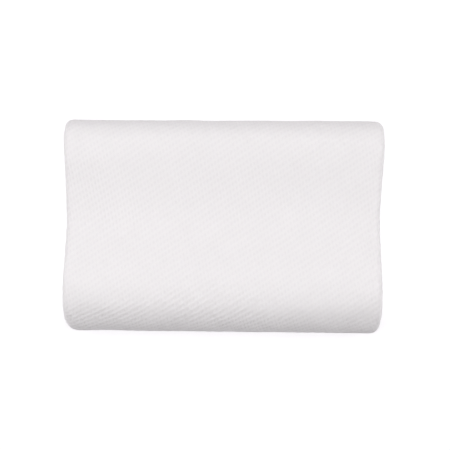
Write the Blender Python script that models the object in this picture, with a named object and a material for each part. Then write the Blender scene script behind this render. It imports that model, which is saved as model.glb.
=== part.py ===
# A contour pillow for the neck, lying on its flat base.
#
# It is one filled body in a stretched knitted cover. Seen from an end, its section is a wave:
# a low roll at the rear, a hollow for the head and a high roll at the front. That section runs
# from end to end, and the cover's pull rounds it off at the two end panels.
#
# X runs along the pillow, -Y is its front (the high roll) and Z is up. All sizes are in metres.
# The origin is on the resting surface, under the middle of the pillow.

import math
from collections import namedtuple

import bmesh
import bpy
from mathutils import Vector
from mathutils.geometry import interpolate_bezier

# Driving sizes of the whole pillow
LENGTH = 0.600
DEPTH = 0.400
FRONT_ROLL_HEIGHT = 0.106
HOLLOW_HEIGHT = 0.070
REAR_ROLL_HEIGHT = 0.090

# Where the section turns, measured across the pillow from its middle
FRONT_ROLL_Y = -0.118
HOLLOW_Y = 0.015
REAR_ROLL_Y = 0.150

# The girth is where the front and rear faces stand upright; below it they tuck under the base
FRONT_GIRTH_HEIGHT = 0.036
REAR_GIRTH_HEIGHT = 0.037
FRONT_TUCK = 0.034
REAR_TUCK = 0.032

# The two end panels: how their rims are rounded off, and how far they are filled out, which
# is less where a panel narrows to under its full-crown height
EDGE_RADIUS = 0.008
REAR_CORNER_RADIUS = 0.014
FRONT_LEFT_CORNER_RADIUS = 0.026
FRONT_RIGHT_CORNER_RADIUS = 0.018
PANEL_CROWN = 0.003
FULL_CROWN_HEIGHT = 0.060

# The rear edge isn't quite square: it stands out a little more at the right end
REAR_FLARE = 0.004

# How finely the body is divided
MIDDLE_STEPS = 20
CORNER_STEPS = 9
PANEL_RUNGS = 8

COVER_COLOUR = (0.86, 0.85, 0.86, 1.0)
COVER_ROUGHNESS = 0.9

# A corner of the section: its place, the way the outline runs through it (in degrees from +Y
# towards +Z), how strongly it holds that direction before and after, and the steps to the next.
# The steps over the top add up to as many as those below, so that an end panel's columns match
Corner = namedtuple("Corner", "name y z heading hold_before hold_after steps")

REAR_EDGE_Y = DEPTH / 2 - REAR_FLARE / 2
FRONT_EDGE_Y = -DEPTH / 2

SECTION = (
    Corner("rear girth", REAR_EDGE_Y, REAR_GIRTH_HEIGHT, 90, 0.018, 0.029, 14),
    Corner("rear roll", REAR_ROLL_Y, REAR_ROLL_HEIGHT, 180, 0.026, 0.040, 10),
    Corner("hollow", HOLLOW_Y, HOLLOW_HEIGHT, 180, 0.050, 0.045, 10),
    Corner("front roll", FRONT_ROLL_Y, FRONT_ROLL_HEIGHT, 180, 0.045, 0.050, 16),
    Corner("front girth", FRONT_EDGE_Y, FRONT_GIRTH_HEIGHT, 270, 0.030, 0.019, 10),
    Corner("front foot", FRONT_EDGE_Y + FRONT_TUCK, 0.0, 0, 0.018, 0.060, 30),
    Corner("rear foot", REAR_EDGE_Y - REAR_TUCK, 0.0, 0, 0.060, 0.017, 10),
)

# The end panel is drawn in beside the hollow, and a little beside the front roll
Setback = namedtuple("Setback", "y drawn_in")

SETBACKS = (
    Setback(FRONT_ROLL_Y, 0.0025),
    Setback(HOLLOW_Y, 0.0050),
    Setback(REAR_ROLL_Y, 0.0),
)


def clear_scene():
    for old in list(bpy.data.objects):
        bpy.data.objects.remove(old, do_unlink=True)


def smooth_step(share):
    share = min(max(share, 0.0), 1.0)
    return share * share * (3.0 - 2.0 * share)


def smooth_through(places, values, at):
    """The value at one place, easing from each named place to the next."""
    result = values[0]
    for here, there, low, high in zip(places, places[1:], values, values[1:]):
        if at > here:
            result = low + (high - low) * smooth_step((at - here) / (there - here))
    return result


def section_outline():
    """The closed outline as (y, z) points, from the rear girth over the top and back below."""
    outline = []
    for here, after in zip(SECTION, SECTION[1:] + SECTION[:1]):
        start = Vector((here.y, here.z))
        end = Vector((after.y, after.z))
        leaving = math.radians(here.heading)
        arriving = math.radians(after.heading)
        first_hold = start + here.hold_after * Vector((math.cos(leaving), math.sin(leaving)))
        last_hold = end - after.hold_before * Vector((math.cos(arriving), math.sin(arriving)))
        span = interpolate_bezier(start, first_hold, last_hold, end, here.steps + 1)
        outline.extend(Vector((point.x, point.y)) for point in span[:-1])
    return outline


def outward_directions(outline):
    """A unit vector for each outline point, square to the outline and pointing out of it."""
    count = len(outline)
    directions = []
    for index in range(count):
        along = outline[(index + 1) % count] - outline[index - 1]
        directions.append(Vector((along.y, -along.x)).normalized())
    return directions


def corner_radius(y, outward, side):
    """Rounding at an end: small over the top and base edges, wide at the plan's corners."""
    if y > 0:
        wide = REAR_CORNER_RADIUS
    elif side < 0:
        wide = FRONT_LEFT_CORNER_RADIUS
    else:
        wide = FRONT_RIGHT_CORNER_RADIUS
    return EDGE_RADIUS + (wide - EDGE_RADIUS) * outward.x ** 2


def rim_distance(y):
    """How far an end panel's rim stands from the pillow's middle, at this place across it."""
    places = [setback.y for setback in SETBACKS]
    amounts = [setback.drawn_in for setback in SETBACKS]
    return LENGTH / 2 - PANEL_CROWN - smooth_through(places, amounts, y)


def flare(x, y):
    """The small extra depth at the right end of the rear edge, taken off at the left end."""
    share = smooth_step(0.5 + x / LENGTH) - 0.5
    return REAR_FLARE * share * smooth_step(y / REAR_ROLL_Y)


def body_ring(outline, outward, side, depth_in):
    """One ring of the body, depth_in metres inside the end panel on that side."""
    ring = []
    for flat, away in zip(outline, outward):
        radius = corner_radius(flat.x, away, side)
        missing = max(radius - depth_in, 0.0)
        inset = radius - math.sqrt(radius ** 2 - missing ** 2)
        y, z = flat - inset * away
        x = side * (rim_distance(flat.x) - depth_in)
        ring.append(Vector((x, y + flare(x, y), z)))
    return ring


def middle_ring(left_ring, right_ring, share):
    """A ring of the long straight run, with the rear flare worked out afresh."""
    ring = []
    for left, right in zip(left_ring, right_ring):
        x = left.x + (right.x - left.x) * share
        y = left.y - flare(left.x, left.y) + flare(x, left.y)
        ring.append(Vector((x, y, left.z)))
    return ring


def all_rings():
    """Every ring from the left end panel's rim to the right one's."""
    outline = section_outline()
    outward = outward_directions(outline)
    reach = max(REAR_CORNER_RADIUS, FRONT_LEFT_CORNER_RADIUS, FRONT_RIGHT_CORNER_RADIUS)
    depths = [reach * (step / CORNER_STEPS) ** 2 for step in range(CORNER_STEPS + 1)]
    left = [body_ring(outline, outward, -1, depth) for depth in depths]
    right = [body_ring(outline, outward, 1, depth) for depth in depths]
    shares = [step / MIDDLE_STEPS for step in range(1, MIDDLE_STEPS)]
    middle = [middle_ring(left[-1], right[-1], share) for share in shares]
    return left + middle + right[::-1]


def panel_column(mesh, top, under, side):
    """One column of an end panel, from its rim's top down to its underside, filled out."""
    height = (top.co - under.co).length
    crown = PANEL_CROWN * smooth_step(height / FULL_CROWN_HEIGHT)
    column = [top]
    for rung in range(1, PANEL_RUNGS):
        share = rung / PANEL_RUNGS
        point = top.co.lerp(under.co, share)
        point.x += side * crown * 4.0 * share * (1.0 - share)
        column.append(mesh.verts.new(point))
    column.append(under)
    return column


def close_panel(mesh, rim, side):
    """Fill an end with columns of four-sided faces, and a fan of three-sided ones at each girth."""
    half = len(rim) // 2
    columns = [panel_column(mesh, rim[step], rim[-step], side) for step in range(1, half)]
    for column, following in zip(columns, columns[1:]):
        for rung in range(PANEL_RUNGS):
            after = rung + 1
            mesh.faces.new((column[rung], column[after], following[after], following[rung]))
    for girth, column in ((rim[0], columns[0]), (rim[half], columns[-1])):
        for upper, lower in zip(column, column[1:]):
            mesh.faces.new((girth, upper, lower))


def build_body(rings):
    """Join the rings with four-sided faces and close both ends."""
    mesh = bmesh.new()
    rows = [[mesh.verts.new(point) for point in ring] for ring in rings]
    count = len(rows[0])
    for row, following in zip(rows, rows[1:]):
        for index in range(count):
            after = (index + 1) % count
            mesh.faces.new((row[index], row[after], following[after], following[index]))
    close_panel(mesh, rows[0], -1)
    close_panel(mesh, rows[-1], 1)
    bmesh.ops.recalc_face_normals(mesh, faces=mesh.faces)
    data = bpy.data.meshes.new("pillow")
    mesh.to_mesh(data)
    mesh.free()
    data.shade_smooth()
    return data


def cover_material():
    material = bpy.data.materials.new("knitted_cover")
    material.use_nodes = True
    shader = material.node_tree.nodes["Principled BSDF"]
    shader.inputs["Base Color"].default_value = COVER_COLOUR
    shader.inputs["Roughness"].default_value = COVER_ROUGHNESS
    shader.inputs["Metallic"].default_value = 0.0
    return material


def main():
    clear_scene()
    body = build_body(all_rings())
    body.materials.append(cover_material())
    pillow = bpy.data.objects.new("pillow", body)
    bpy.context.scene.collection.objects.link(pillow)


main()
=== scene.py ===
# %% [markdown]
# A contour pillow for the neck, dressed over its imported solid. It is one filled body in a stretched
# white knit: a low roll at the rear, a hollow for the head, and a high roll at the front.
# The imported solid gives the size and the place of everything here. It stays as it is, and the
# finished cover takes its place in the picture.

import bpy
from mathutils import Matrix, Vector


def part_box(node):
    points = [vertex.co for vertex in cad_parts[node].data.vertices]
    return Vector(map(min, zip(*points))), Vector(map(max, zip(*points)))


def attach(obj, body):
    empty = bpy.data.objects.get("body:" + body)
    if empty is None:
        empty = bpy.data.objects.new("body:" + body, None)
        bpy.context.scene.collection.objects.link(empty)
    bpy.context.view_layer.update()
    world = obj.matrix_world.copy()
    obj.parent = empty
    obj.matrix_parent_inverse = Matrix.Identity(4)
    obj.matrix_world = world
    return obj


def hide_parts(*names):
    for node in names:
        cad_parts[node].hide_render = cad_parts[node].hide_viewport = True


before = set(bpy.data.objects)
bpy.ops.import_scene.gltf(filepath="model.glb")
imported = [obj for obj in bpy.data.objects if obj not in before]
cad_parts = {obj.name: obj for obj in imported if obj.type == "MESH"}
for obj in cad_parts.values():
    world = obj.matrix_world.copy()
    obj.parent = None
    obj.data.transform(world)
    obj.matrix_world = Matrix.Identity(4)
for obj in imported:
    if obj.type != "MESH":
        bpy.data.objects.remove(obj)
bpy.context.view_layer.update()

# %% Modules
import math

import bmesh
import bpy
import numpy as np
from mathutils import Vector
from mathutils.bvhtree import BVHTree

# All lengths are in metres, unless a name or a comment says otherwise
scene = bpy.context.scene
low, high = (Vector(corner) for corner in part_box("pillow"))
length, depth, height = high - low
print(f"pillow {length * 1000:.1f} x {depth * 1000:.1f} x {height * 1000:.1f} mm")

# %% [markdown]
# The camera looks straight down on the pillow, which lies on its flat base with its high roll
# towards the bottom of the picture. It stands well away, so that the rolls barely lean outwards. The
# pillow sits a touch askew in the picture, and so the camera is turned by that much.

# %% Camera
CAMERA_AWAY = 3.0
FOCUS_HEIGHT = 0.09
PILLOW_PIXELS = 324.5
PICTURE_PIXELS = 450
SENSOR_WIDTH = 36.0
CAMERA_OFF_MIDDLE = (0.003, 0.0008)
CAMERA_TURN = math.radians(0.7)

seen_width = length * PICTURE_PIXELS / PILLOW_PIXELS
bpy.ops.object.select_all(action="DESELECT")
bpy.ops.object.camera_add(location=(*CAMERA_OFF_MIDDLE, CAMERA_AWAY), rotation=(0.0, 0.0, CAMERA_TURN))
camera = bpy.context.object
camera.name = "camera"
camera.data.sensor_width = SENSOR_WIDTH
camera.data.lens = SENSOR_WIDTH * (CAMERA_AWAY - FOCUS_HEIGHT) / seen_width
scene.camera = camera
print(f"lens {camera.data.lens:.1f} mm")

# %% [markdown]
# The filling pushes the cover out evenly from inside. That could be sculpted by hand, but cloth
# under a little pressure finds the same soft form by itself. A copy of the solid is remeshed into
# even squares, drawn in a little, because it swells, and blown up gently. How far a point may move
# is capped, so that the rolls and the hollow keep their heights, and a little smoothing takes out
# the creases that remeshing leaves.

# %% Reading and setting a mesh's points


def only(piece):
    """Make this piece the one that operators act on."""
    bpy.ops.object.select_all(action="DESELECT")
    piece.select_set(True)
    bpy.context.view_layer.objects.active = piece


def merge_doubles(piece, within):
    only(piece)
    bpy.ops.object.mode_set(mode="EDIT")
    bpy.ops.mesh.select_all(action="SELECT")
    bpy.ops.mesh.remove_doubles(threshold=within)
    bpy.ops.object.mode_set(mode="OBJECT")


def points_of(piece):
    points = np.empty(len(piece.data.vertices) * 3)
    piece.data.vertices.foreach_get("co", points)
    return points.reshape(-1, 3)


def normals_of(piece):
    normals = np.empty(len(piece.data.vertices) * 3)
    piece.data.vertices.foreach_get("normal", normals)
    return normals.reshape(-1, 3)


def set_points(piece, points):
    piece.data.vertices.foreach_set("co", points.ravel())
    piece.data.update()


# %% Copy the solid and remesh it
SAME_POINT = 0.00002
VOXEL = 0.0055
DRAWN_IN = 0.0010

form = bpy.data.objects.new("form", bpy.data.objects["pillow"].data.copy())
scene.collection.objects.link(form)
form.data.materials.clear()
merge_doubles(form, SAME_POINT)
form.data.remesh_voxel_size = VOXEL
bpy.ops.object.voxel_remesh()
set_points(form, points_of(form) - DRAWN_IN * normals_of(form))
print("remeshed to", len(form.data.polygons), "faces")

# %% Blow it up
PRESSURE = 4.0
LAST_FRAME = 20
CAP = 0.0015

cloth = form.modifiers.new("filled", "CLOTH")
cloth.settings.use_pressure = True
cloth.settings.uniform_pressure_force = PRESSURE
cloth.settings.effector_weights.gravity = 0.0
before = points_of(form)
for step in range(1, LAST_FRAME + 1):
    scene.frame_set(step)
bpy.ops.object.modifier_apply(modifier=cloth.name)
scene.frame_set(1)
moved = points_of(form) - before
reach = np.linalg.norm(moved, axis=1, keepdims=True)
set_points(form, before + moved * np.minimum(1.0, CAP / np.maximum(reach, CAP)))
print(f"moved {reach.mean() * 1000:.1f} mm on average before the cap of {CAP * 1000:.1f} mm")

# %% Divide it once and smooth it
SMOOTHING = 0.5
SMOOTHING_ROUNDS = 6

finer = form.modifiers.new("finer", "SUBSURF")
finer.levels = 1
finer.render_levels = 1
bpy.ops.object.modifier_apply(modifier=finer.name)
smoother = form.modifiers.new("smoother", "SMOOTH")
smoother.factor = SMOOTHING
smoother.iterations = SMOOTHING_ROUNDS
bpy.ops.object.modifier_apply(modifier=smoother.name)
print("divided and smoothed", len(form.data.polygons), "faces")

# %% [markdown]
# The blown-up form is taken in to the solid's length, depth and height again, and laid flat on the
# bed. Its cover stands a little fuller over the front shoulder than a plain curve does, and the
# filling leaves it slightly uneven all over, by less than a millimetre.

# %% Take it in to size
SHOULDER_Y = -0.157
SHOULDER_WIDTH = 0.022
SHOULDER_FULLER = 0.0016
SHOULDER_ABOVE = 0.035


def flat_below(points):
    points[:, 2] = np.maximum(points[:, 2], low.z)
    return points


swollen = points_of(form)
lowest, highest = swollen.min(axis=0), swollen.max(axis=0)
for axis, wanted in ((0, length), (1, depth)):
    middle = (lowest[axis] + highest[axis]) / 2
    swollen[:, axis] = (swollen[:, axis] - middle) * wanted / (highest[axis] - lowest[axis])
swollen[:, 2] *= height / highest[2]
near_shoulder = np.exp(-((swollen[:, 1] - SHOULDER_Y) / SHOULDER_WIDTH) ** 2)
high_up = np.clip(swollen[:, 2] / SHOULDER_ABOVE - 1.0, 0.0, 1.0)
swollen[:, 2] += SHOULDER_FULLER * near_shoulder * high_up
set_points(form, flat_below(swollen))
print("form from", points_of(form).min(axis=0).round(4), "to", points_of(form).max(axis=0).round(4))

# %% Make it a little uneven
UNEVEN_SEED = 7
UNEVEN_WAVES = 9
UNEVEN_HEIGHT = 0.00015
UNEVEN_SHORTEST = 0.060
UNEVEN_LONGEST = 0.150
PRESSED_BELOW = 0.004
FULL_TURN = 2 * math.pi


def unevenness(points):
    """A soft swell of seeded waves, in metres."""
    draws = np.random.default_rng(UNEVEN_SEED)
    swell = np.zeros(len(points))
    for _ in range(UNEVEN_WAVES):
        direction = draws.normal(size=3)
        direction /= np.linalg.norm(direction)
        wavelength = draws.uniform(UNEVEN_SHORTEST, UNEVEN_LONGEST)
        phase = draws.uniform(0.0, FULL_TURN)
        swell += UNEVEN_HEIGHT * np.sin(points @ direction * FULL_TURN / wavelength + phase)
    return swell


def above_bed(points):
    """0 where the cover lies on the bed, and 1 from a few millimetres up."""
    return np.clip((points[:, 2] - low.z) / PRESSED_BELOW, 0.0, 1.0)


swell = unevenness(points_of(form)) * above_bed(points_of(form))
set_points(form, flat_below(points_of(form) + swell[:, None] * normals_of(form)))
print(f"uneven by up to {np.abs(swell).max() * 1000:.2f} mm")

# %% [markdown]
# The real cover is a double knit: round dimples stand in slanting rows, and soft ribs run between
# the rows. A knit drawn with bump alone would have a smooth outline, so the cover is a mesh whose
# squares follow the rows, and each dimple is really sunk in. It starts as a flat sheet, as on the
# knitting machine, is cut to length, wrapped round the section and laid onto the filled form.
# First the section is traced, from the middle of the base round the front, over and back.

# %% Trace the section
TRACE_STEP = 0.001
SMOOTHED_OVER = 9
LOWEST_COUNTS = 10.0


def section_of(piece):
    """The (y, z) points of the middle section, from the middle of the base round the front."""
    cut = bmesh.new()
    cut.from_mesh(piece.data)
    everything = cut.verts[:] + cut.edges[:] + cut.faces[:]
    sliced = bmesh.ops.bisect_plane(cut, geom=everything, plane_co=(0, 0, 0), plane_no=(1, 0, 0))
    verts = [item for item in sliced["geom_cut"] if isinstance(item, bmesh.types.BMVert)]
    edges = {item for item in sliced["geom_cut"] if isinstance(item, bmesh.types.BMEdge)}
    loop = [min(verts, key=lambda vert: abs(vert.co.y) + LOWEST_COUNTS * vert.co.z)]
    while len(loop) < 2 or loop[-1] is not loop[0]:
        onward = [edge.other_vert(loop[-1]) for edge in loop[-1].link_edges if edge in edges]
        onward = [vert for vert in onward if len(loop) < 2 or vert is not loop[-2]]
        loop.append(min(onward, key=lambda vert: vert.co.y) if len(loop) == 1 else onward[0])
    points = np.array([(vert.co.y, vert.co.z) for vert in loop[:-1]])
    cut.free()
    return points


def evenly(points, step):
    """The same closed line with points at equal distances, and its whole length."""
    closed = np.vstack([points, points[:1]])
    runs = np.linalg.norm(np.diff(closed, axis=0), axis=1)
    along = np.concatenate([[0.0], np.cumsum(runs)])
    places = np.linspace(0.0, along[-1], round(along[-1] / step), endpoint=False)
    spread = np.column_stack([np.interp(places, along, closed[:, axis]) for axis in (0, 1)])
    return spread, along[-1]


def outward_of(line, smoothed_over):
    """Unit vectors square to a closed (y, z) line, pointing out of it."""
    heading = np.zeros_like(line)
    for step in range(1, smoothed_over + 1):
        heading += np.roll(line, -step, axis=0) - np.roll(line, step, axis=0)
    heading /= np.linalg.norm(heading, axis=1, keepdims=True)
    outward = np.column_stack([-heading[:, 1], heading[:, 0]])
    pointing = np.sum(outward * (line - line.mean(axis=0)))
    return outward if pointing > 0 else -outward


section, girth = evenly(section_of(form), TRACE_STEP)
outward = outward_of(section, SMOOTHED_OVER)
print(f"girth {girth * 1000:.1f} mm")

# %% [markdown]
# Dimples follow each other along a row that rises to the right, and the next row starts a step
# above. These two steps set the whole pattern. Round the girth the knit has to meet itself, so
# whole numbers of rows and dimples are found that nearly do, and the steps are stretched by the
# last hair.

# %% Lay out the rows
DIMPLE_STEP = np.array((0.00600, 0.00403))
ROW_STEP = np.array((-0.00186, 0.01110))
MOST_DIMPLES_ROUND = 80


def rows_that_meet():
    """How many rows and dimples go round, and where that many steps lead."""
    tries = []
    for dimples in range(1, MOST_DIMPLES_ROUND):
        rows = round((girth - dimples * DIMPLE_STEP[1]) / ROW_STEP[1])
        reached = rows * ROW_STEP + dimples * DIMPLE_STEP
        missed = abs(reached[0]) + abs(reached[1] - girth)
        tries.append((missed, rows, reached))
    return min(tries, key=lambda attempt: attempt[0])


missed, rows_round, reached = rows_that_meet()
stretch = np.array(((1.0, -reached[0] / reached[1]), (0.0, girth / reached[1])))
dimple_step = stretch @ DIMPLE_STEP
row_step = stretch @ ROW_STEP
to_cell = np.linalg.inv(np.column_stack([row_step, dimple_step]))
print(f"{rows_round} rows round, which missed by {missed * 1000:.1f} mm before the stretch")

# %% Knit a flat sheet
ACROSS_A_ROW = 4
ALONG_A_ROW = 3


def knitted_sheet(name, rows, dimples):
    """A flat sheet in the rows' own slant, from and to the given rows and dimples."""
    bpy.ops.object.select_all(action="DESELECT")
    across = (rows[1] - rows[0]) * ACROSS_A_ROW
    along = (dimples[1] - dimples[0]) * ALONG_A_ROW
    bpy.ops.mesh.primitive_grid_add(x_subdivisions=along, y_subdivisions=across, size=1.0)
    sheet = bpy.context.object
    sheet.name = name
    share = points_of(sheet) + 0.5
    row_place = rows[0] + share[:, 1:2] * (rows[1] - rows[0])
    dimple_place = dimples[0] + share[:, 0:1] * (dimples[1] - dimples[0])
    flat = row_place * row_step + dimple_place * dimple_step
    set_points(sheet, np.column_stack([flat, np.zeros(len(flat))]))
    return sheet


def keep_map(sheet):
    """Keep each corner's place on the flat knit, in metres, as the map that the material follows."""
    corners = np.empty(len(sheet.data.loops), dtype=int)
    sheet.data.loops.foreach_get("vertex_index", corners)
    while sheet.data.uv_layers:
        sheet.data.uv_layers.remove(sheet.data.uv_layers[0])
    layer = sheet.data.uv_layers.new(name="knit")
    layer.data.foreach_set("uv", points_of(sheet)[corners, :2].ravel())


# %% What each point of the sheet remembers
TROUGH_RAISED = 0.42


def dimple_at(flat):
    """1 in the middle of a dimple, less in the trough to the next of its row, and 0 on a rib."""
    rows, dimples = to_cell @ flat[:, :2].T
    across = 0.5 + 0.5 * np.cos(FULL_TURN * rows)
    along = (1.0 - TROUGH_RAISED) + TROUGH_RAISED * np.cos(FULL_TURN * dimples)
    return across * along


def remember(sheet, name, values):
    attribute = sheet.data.attributes.new(name, "FLOAT", "POINT")
    attribute.data.foreach_set("value", np.asarray(values, dtype=np.float32))


def remembered(sheet, name):
    values = np.empty(len(sheet.data.vertices), dtype=np.float32)
    sheet.data.attributes[name].data.foreach_get("value", values)
    return values


# %% [markdown]
# The cover goes over the rounded rim at each end and a little way down the end wall, so that the
# seam of the end panel stays out of sight from above. The rim is tight along the top and wide at
# the plan's corners, and so the sheet is stretched by up to a few per cent there.

# %% Cut the sheet to length
SEAM_PAST_RIM = 0.003
EDGE_ROUNDING = 0.008
REAR_CORNER_ROUNDING = 0.014
FRONT_CORNER_ROUNDING = {-1: 0.026, 1: 0.018}
QUARTER_TURN = FULL_TURN / 4

cut_length = length / 2 + SEAM_PAST_RIM + (QUARTER_TURN - 1.0) * EDGE_ROUNDING
slant = rows_round * abs(row_step[0])
first_dimple = -math.ceil(cut_length / dimple_step[0]) - 1
last_dimple = math.ceil((cut_length + slant) / dimple_step[0]) + 1
cover = knitted_sheet("pillow_cover", (0, rows_round), (first_dimple, last_dimple))
for side in (-1, 1):
    bpy.ops.object.mode_set(mode="EDIT")
    bpy.ops.mesh.select_all(action="SELECT")
    bpy.ops.mesh.bisect(plane_co=(side * cut_length, 0, 0), plane_no=(side, 0, 0), clear_outer=True)
    bpy.ops.object.mode_set(mode="OBJECT")
keep_map(cover)
remember(cover, "dimple", dimple_at(points_of(cover)))
remember(cover, "from_seam", cut_length - np.abs(points_of(cover)[:, 0]))
print("flat sheet", len(cover.data.polygons), "faces")

# %% Wrap it round the form
MEETS_WITHIN = 0.00005
form_tree = BVHTree.FromObject(form, bpy.context.evaluated_depsgraph_get())


def rim_rounding(side):
    """How widely the cover turns into an end wall, all round the section."""
    facing = outward[:, 0]
    corner = np.where(facing > 0, REAR_CORNER_ROUNDING, FRONT_CORNER_ROUNDING[side])
    return EDGE_ROUNDING + (corner - EDGE_ROUNDING) * facing ** 2


def wall_at(y, z, side):
    """How far the form's end wall stands from the middle at this place."""
    hit = form_tree.ray_cast(Vector((0.0, y, z)), Vector((side, 0.0, 0.0)))[0]
    return abs(hit.x) if hit else length / 2


def wrapped(flat, side):
    """Places round the form for flat (u, v) points on one side of the middle."""
    rounding = rim_rounding(side)
    inside = section - outward * (rounding + SEAM_PAST_RIM)[:, None]
    walls = np.array([wall_at(y, z, side) for y, z in inside])
    steps = np.mod(flat[:, 1], girth) / girth * len(section)
    behind = np.floor(steps).astype(int) % len(section)
    share = (steps - np.floor(steps))[:, None]

    def between(values):
        values = values.reshape(len(section), -1)
        return values[behind] * (1.0 - share) + np.roll(values, -1, axis=0)[behind] * share

    turn, wall = between(rounding), between(walls)
    straight = wall - turn
    whole = straight + turn * QUARTER_TURN + SEAM_PAST_RIM
    run = np.abs(flat[:, :1]) / cut_length * whole
    angle = np.clip((run - straight) / turn, 0.0, QUARTER_TURN)
    down_wall = np.maximum(run - straight - turn * QUARTER_TURN, 0.0)
    x = np.minimum(run, straight) + turn * np.sin(angle)
    inward = turn * (1.0 - np.cos(angle)) + down_wall
    return np.column_stack([side * x, between(section) - between(outward) * inward])


flat_cover = points_of(cover)
round_form = np.zeros_like(flat_cover)
for side in (-1, 1):
    here = flat_cover[:, 0] * side >= 0
    round_form[here] = wrapped(flat_cover[here], side)
set_points(cover, round_form)
merge_doubles(cover, MEETS_WITHIN)
print("wrapped", len(cover.data.vertices), "points")

# %% Lay it onto the form
laid = cover.modifiers.new("laid", "SHRINKWRAP")
laid.target = form
laid.wrap_method = "NEAREST_SURFACEPOINT"
only(cover)
bpy.ops.object.modifier_apply(modifier=laid.name)
print("laid from", points_of(cover).min(axis=0).round(4), "to", points_of(cover).max(axis=0).round(4))

# %% [markdown]
# Each end is closed by a panel of the same knit. It doesn't show in the picture, so it is finished
# plainly: a flat piece is cut to the cover's open border, pressed onto the end wall, and sewn in
# all round with a narrow strip of faces.

# %% Find the open borders
PANEL_GAP = 0.0009
SEAM_SMOOTHED_OVER = 4


def open_borders(work, side):
    """The open borders on one side, each as its verts in order."""
    waiting = {edge for edge in work.edges if edge.is_boundary and edge.verts[0].co.x * side > 0}
    borders = []
    while waiting:
        edge = waiting.pop()
        loop = [edge.verts[0], edge.verts[1]]
        while loop[-1] is not loop[0]:
            onward = next(edge for edge in loop[-1].link_edges if edge in waiting)
            waiting.discard(onward)
            loop.append(onward.other_vert(loop[-1]))
        borders.append(loop[:-1])
    return borders


def seam_line(side):
    """The cover's border on one side as an even (y, z) line, a little inside the seam."""
    work = bmesh.new()
    work.from_mesh(cover.data)
    border = open_borders(work, side)[0]
    line, around = evenly(np.array([(vert.co.y, vert.co.z) for vert in border]), TRACE_STEP)
    work.free()
    print(f"seam {around * 1000:.0f} mm round")
    return line - outward_of(line, SEAM_SMOOTHED_OVER) * PANEL_GAP


# %% Cut the end panels


def inside_line(spots, line):
    """Which spots lie inside a closed line."""
    inside = np.zeros(len(spots), dtype=bool)
    for start, end in zip(line, np.roll(line, -1, axis=0)):
        crosses = (start[1] > spots[:, 1]) != (end[1] > spots[:, 1])
        rise = end[1] - start[1] if end[1] != start[1] else SAME_POINT
        at = start[0] + (spots[:, 1] - start[1]) / rise * (end[0] - start[0])
        inside ^= crosses & (spots[:, 0] < at)
    return inside


def pinched_faces(work):
    """Faces at verts where two open borders touch."""
    pinched = [vert for vert in work.verts if sum(edge.is_boundary for edge in vert.link_edges) > 2]
    return list({face for vert in pinched for face in vert.link_faces})


def sheet_over(line):
    """A flat sheet that covers all that a closed line goes round."""
    lowest, highest = line.min(axis=0), line.max(axis=0)
    corners = np.array([(u, v) for u in (lowest[0], highest[0]) for v in (lowest[1], highest[1])])
    cells = to_cell @ corners.T
    rows = (math.floor(cells[0].min()) - 1, math.ceil(cells[0].max()) + 1)
    dimples = (math.floor(cells[1].min()) - 1, math.ceil(cells[1].max()) + 1)
    return knitted_sheet("end_panel", rows, dimples)


def trim_to(panel, line):
    """Cut the sheet to the faces inside the line, and draw its border out onto the line."""
    work = bmesh.new()
    work.from_mesh(panel.data)
    inside = inside_line(np.array([face.calc_center_median().xy for face in work.faces]), line)
    unwanted = [face for face, keep in zip(work.faces[:], inside) if not keep]
    while unwanted:
        bmesh.ops.delete(work, geom=unwanted, context="FACES")
        unwanted = pinched_faces(work)
    for vert in work.verts:
        if vert.is_boundary:
            vert.co.xy = line[np.linalg.norm(line - np.array(vert.co.xy), axis=1).argmin()]
    work.to_mesh(panel.data)
    work.free()


def end_panel(side):
    """The knitted panel that closes one end, laid on the form's end wall."""
    line = seam_line(side) * (side, 1.0)
    panel = sheet_over(line)
    keep_map(panel)
    trim_to(panel, line)
    flat = points_of(panel)
    remember(panel, "dimple", dimple_at(flat))
    remember(panel, "from_seam", [np.linalg.norm(line - spot, axis=1).min() for spot in flat[:, :2]])
    y, z = flat[:, 0] * side, flat[:, 1]
    x = [side * wall_at(*place, side) for place in zip(y, z)]
    set_points(panel, np.column_stack([x, y, z]))
    print("end panel", len(panel.data.polygons), "faces")
    return panel


panels = [end_panel(side) for side in (-1, 1)]

# %% Sew the panels in
PARTS_ROUND = 20


def side_by_side(first, second):
    """The second closed line, started next to the first and turned the same way round.

    Which way it turns shows one part of the way further on.
    """
    start = min(range(len(second)), key=lambda index: (second[index].co - first[0].co).length)
    second = second[start:] + second[:start]
    further = first[len(first) // PARTS_ROUND].co
    ahead = second[len(second) // PARTS_ROUND].co
    behind = second[-(len(second) // PARTS_ROUND)].co
    if (behind - further).length < (ahead - further).length:
        second = second[:1] + second[:0:-1]
    return second


def sew(work, first, second):
    """Join two closed lines of verts that lie side by side, taking the shorter step each time."""
    knit_map = work.loops.layers.uv["knit"]
    on_knit = {vert: vert.link_loops[0][knit_map].uv.copy() for vert in first}
    second = side_by_side(first, second)
    here, there = 0, 0
    while here < len(first) or there < len(second):
        a, b = first[here % len(first)], second[there % len(second)]
        next_a, next_b = first[(here + 1) % len(first)], second[(there + 1) % len(second)]
        step_a = (next_a.co - b.co).length if here < len(first) else math.inf
        step_b = (next_b.co - a.co).length if there < len(second) else math.inf
        if step_a <= step_b:
            strip = work.faces.new((a, b, next_a))
            here += 1
        else:
            strip = work.faces.new((a, b, next_b))
            there += 1
        for corner in strip.loops:
            corner[knit_map].uv = on_knit[a]


only(cover)
for panel in panels:
    panel.select_set(True)
bpy.ops.object.join()
sewing = bmesh.new()
sewing.from_mesh(cover.data)
for side in (-1, 1):
    sew(sewing, *open_borders(sewing, side))
bmesh.ops.recalc_face_normals(sewing, faces=sewing.faces)
print("edges not closed:", sum(not edge.is_manifold for edge in sewing.edges))
sewing.to_mesh(cover.data)
sewing.free()

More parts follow.
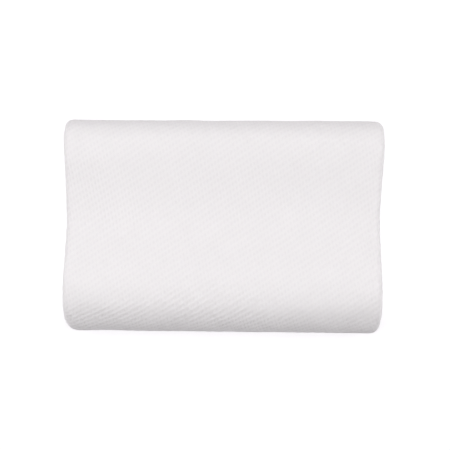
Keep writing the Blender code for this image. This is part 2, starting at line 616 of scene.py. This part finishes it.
# %% [markdown]
# Now the dimples are sunk along each point's own outward direction, and the end seams are drawn in,
# with the cover puffed up softly beside them. What lies on the bed is pressed flat, and its many
# squares become one face.

# %% Sink the dimples and draw in the seams
DIMPLE_DEPTH = 0.0010
SEAM_DEPTH = 0.0016
SEAM_WIDTH = 0.0022
PUFF_HEIGHT = 0.0006
PUFF_AWAY = 0.008
PUFF_WIDTH = 0.005

places = points_of(cover)
from_seam = remembered(cover, "from_seam")
sunk = DIMPLE_DEPTH * remembered(cover, "dimple") * np.clip(from_seam / PUFF_AWAY, 0.0, 1.0)
drawn_in = SEAM_DEPTH * np.exp(-(from_seam / SEAM_WIDTH) ** 2)
puffed = PUFF_HEIGHT * np.exp(-((from_seam - PUFF_AWAY) / PUFF_WIDTH) ** 2)
lift = (puffed - drawn_in - sunk) * above_bed(places)
set_points(cover, flat_below(places + lift[:, None] * normals_of(cover)))
print("cover from", points_of(cover).min(axis=0).round(4), "to", points_of(cover).max(axis=0).round(4))

# %% Join what lies flat into one face
pressing = bmesh.new()
pressing.from_mesh(cover.data)
lying = [face for face in pressing.faces if all(vert.co.z < low.z + SAME_POINT for vert in face.verts)]
bmesh.ops.dissolve_faces(pressing, faces=lying, use_verts=False)
print("flat faces joined:", len(lying), "edges not closed:",
      sum(not edge.is_manifold for edge in pressing.edges))
pressing.to_mesh(cover.data)
pressing.free()
for name in ("dimple", "from_seam"):
    cover.data.attributes.remove(cover.data.attributes[name])
cover.data.shade_smooth()
cover.data.calc_loop_triangles()
cover.data.name = "pillow_cover"
bpy.data.objects.remove(form)
print("triangles", len(cover.data.loop_triangles))

# %% [markdown]
# The yarn is a matt white with a faint warm pink cast. Its dimples are painted a shade darker, as
# painted shade for the little light that reaches their bottoms, and their shape goes on into a bump
# that rounds off the mesh's small squares. Finer still are the stitches themselves, about a millimetre
# apart, and the yarn's fuzz. All of it is worked out on the knit's own map in metres, so the rows run
# on over the rolls unbroken.

# %% A small language for shader values


class Value:
    """A number that changes over a surface: sums and products of it add Math nodes."""

    def __init__(self, tree, socket):
        self.tree = tree
        self.socket = socket

    def _math(self, operation, *terms):
        return self.node("ShaderNodeMath", {"operation": operation}, dict(enumerate(terms)))

    def __add__(self, other):
        return self._math("ADD", self, other)

    def __radd__(self, other):
        return self._math("ADD", other, self)

    def __sub__(self, other):
        return self._math("SUBTRACT", self, other)

    def __rsub__(self, other):
        return self._math("SUBTRACT", other, self)

    def __mul__(self, other):
        return self._math("MULTIPLY", self, other)

    def __rmul__(self, other):
        return self._math("MULTIPLY", other, self)

    def cosine(self):
        return self._math("COSINE", self)

    def node(self, kind, settings, inputs, output=0):
        """Any other node: its settings first, then its sockets' values or links."""
        added = self.tree.nodes.new(kind)
        for name, value in settings.items():
            setattr(added, name, value)
        for name, value in inputs.items():
            if isinstance(value, Value):
                self.tree.links.new(value.socket, added.inputs[name])
            else:
                added.inputs[name].default_value = value
        return Value(self.tree, added.outputs[output])

    def feed(self, shader, name):
        self.tree.links.new(self.socket, shader.inputs[name])


# %% The white knit
RIB_COLOUR = (0.883, 0.856, 0.867, 1.0)
# The dimples' colour is darker than the ribs' only as painted shade, for the little light that reaches
# their bottoms
DIMPLE_PAINTED_SHADE = (0.854, 0.824, 0.838, 1.0)
RIB_ROUGHNESS = 0.92
DIMPLE_ROUGHNESS = 0.98
KNIT_SPECULAR = 0.2
KNIT_SHEEN = 0.15
KNIT_SHEEN_ROUGHNESS = 0.6
DIMPLE_BUMP = 0.0003
STITCH_PITCH = 0.0012
STITCH_BUMP = 0.00006
FUZZ_SIZE = 0.0035
FUZZ_DETAIL = 3.0
FUZZ_BUMP = 0.00025
MIX_FACTOR, MIX_FIRST_COLOUR, MIX_SECOND_COLOUR, MIX_COLOUR_OUT = 0, 6, 7, 2


def knit_material():
    material = bpy.data.materials.new("white_knit")
    material.use_nodes = True
    tree = material.node_tree
    shader = tree.nodes["Principled BSDF"]
    shader.inputs["Specular IOR Level"].default_value = KNIT_SPECULAR
    shader.inputs["Sheen Weight"].default_value = KNIT_SHEEN
    shader.inputs["Sheen Roughness"].default_value = KNIT_SHEEN_ROUGHNESS

    place = Value(tree, None).node("ShaderNodeUVMap", {"uv_map": "knit"}, {})
    u = place.node("ShaderNodeSeparateXYZ", {}, {0: place}, output=0)
    v = place.node("ShaderNodeSeparateXYZ", {}, {0: place}, output=1)
    row_angle = u * float(FULL_TURN * to_cell[0][0]) + v * float(FULL_TURN * to_cell[0][1])
    dimple_angle = u * float(FULL_TURN * to_cell[1][0]) + v * float(FULL_TURN * to_cell[1][1])
    across = 0.5 + 0.5 * row_angle.cosine()
    along = (1.0 - TROUGH_RAISED) + TROUGH_RAISED * dimple_angle.cosine()
    dimple = across * along

    stitches = (u * (FULL_TURN / STITCH_PITCH)).cosine() * (v * (FULL_TURN / STITCH_PITCH)).cosine()
    grain = {"Vector": place, "Scale": 1.0 / FUZZ_SIZE, "Detail": FUZZ_DETAIL}
    fuzz = place.node("ShaderNodeTexNoise", {}, grain)
    relief = fuzz * FUZZ_BUMP + stitches * STITCH_BUMP - dimple * DIMPLE_BUMP
    bump = place.node("ShaderNodeBump", {}, {"Height": relief, "Distance": 1.0, "Strength": 1.0})
    # Towards each dimple's middle the base colour mixes into the darker dimple colour: this is painted
    # shade
    painted_shade_mix = {MIX_FACTOR: dimple, MIX_FIRST_COLOUR: RIB_COLOUR, MIX_SECOND_COLOUR: DIMPLE_PAINTED_SHADE}
    knit_colour_and_painted_shade = place.node("ShaderNodeMix", {"data_type": "RGBA"}, painted_shade_mix, output=MIX_COLOUR_OUT)
    roughness = RIB_ROUGHNESS + (DIMPLE_ROUGHNESS - RIB_ROUGHNESS) * dimple
    knit_colour_and_painted_shade.feed(shader, "Base Color")
    roughness.feed(shader, "Roughness")
    bump.feed(shader, "Normal")
    return material


cover.data.materials.clear()
cover.data.materials.append(knit_material())
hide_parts("pillow")
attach(cover, "root")
print("dressed", cover.name)

# %% [markdown]
# The pillow lies on a plain white studio floor with no edge to it, which glows a little, as a
# backlit sweep does, so that only a soft shade is left under the pillow's tucked-in sides. Broad
# lamps hang above, behind and at both sides. The light falls off over the front roll, which is
# what shows how high it stands. The lamps' strengths were worked out from how the brightness
# changes over the rolls and the hollow.

# %% Floor
FLOOR_SIZE = 60.0
FLOOR_GREY = (0.45, 0.45, 0.45, 1.0)
FLOOR_GLOW_COLOUR = (0.99, 0.97, 1.0, 1.0)
FLOOR_GLOW = 0.66

bpy.ops.object.select_all(action="DESELECT")
bpy.ops.mesh.primitive_plane_add(size=FLOOR_SIZE)
floor = bpy.context.object
floor.name = "floor"
pale = bpy.data.materials.new("pale_floor")
pale.use_nodes = True
floor_shader = pale.node_tree.nodes["Principled BSDF"]
floor_shader.inputs["Base Color"].default_value = FLOOR_GREY
floor_shader.inputs["Roughness"].default_value = 1.0
floor_shader.inputs["Specular IOR Level"].default_value = 0.0
floor_shader.inputs["Emission Color"].default_value = FLOOR_GLOW_COLOUR
floor_shader.inputs["Emission Strength"].default_value = FLOOR_GLOW
floor.data.materials.append(pale)

# %% Lamps
LAMP_AWAY = 2.4
LAMP_LENGTH = 1.6
LAMP_WIDTH = 0.8
# Each lamp's name, the way it leans in plan, by how many degrees from upright, and its watts
LAMPS = (
    ("above", (0, 1), 0, 14.8),
    ("rear", (0, 1), 20, 15.6),
    ("rear_low", (0, 1), 80, 3.9),
    ("left", (-1, 0), 50, 24.6),
    ("right", (1, 0), 50, 21.2),
    ("right_low", (1, 0), 80, 2.5),
)

for name, towards, lean, power in LAMPS:
    angle = math.radians(lean)
    level = math.sin(angle)
    place = Vector((towards[0] * level, towards[1] * level, math.cos(angle))) * LAMP_AWAY
    aim = (-place).to_track_quat("-Z", "Y").to_euler()
    bpy.ops.object.select_all(action="DESELECT")
    bpy.ops.object.light_add(type="AREA", location=place, rotation=aim)
    lamp = bpy.context.object
    lamp.name = "lamp_" + name
    lamp.data.shape = "RECTANGLE"
    lamp.data.size = LAMP_LENGTH
    lamp.data.size_y = LAMP_WIDTH
    lamp.data.energy = power
print(len(LAMPS), "lamps")

# %% Surroundings
world = bpy.data.worlds.new("studio")
world.use_nodes = True
world.node_tree.nodes["Background"].inputs["Strength"].default_value = 0.0
scene.world = world
scene.view_settings.view_transform = "Standard"
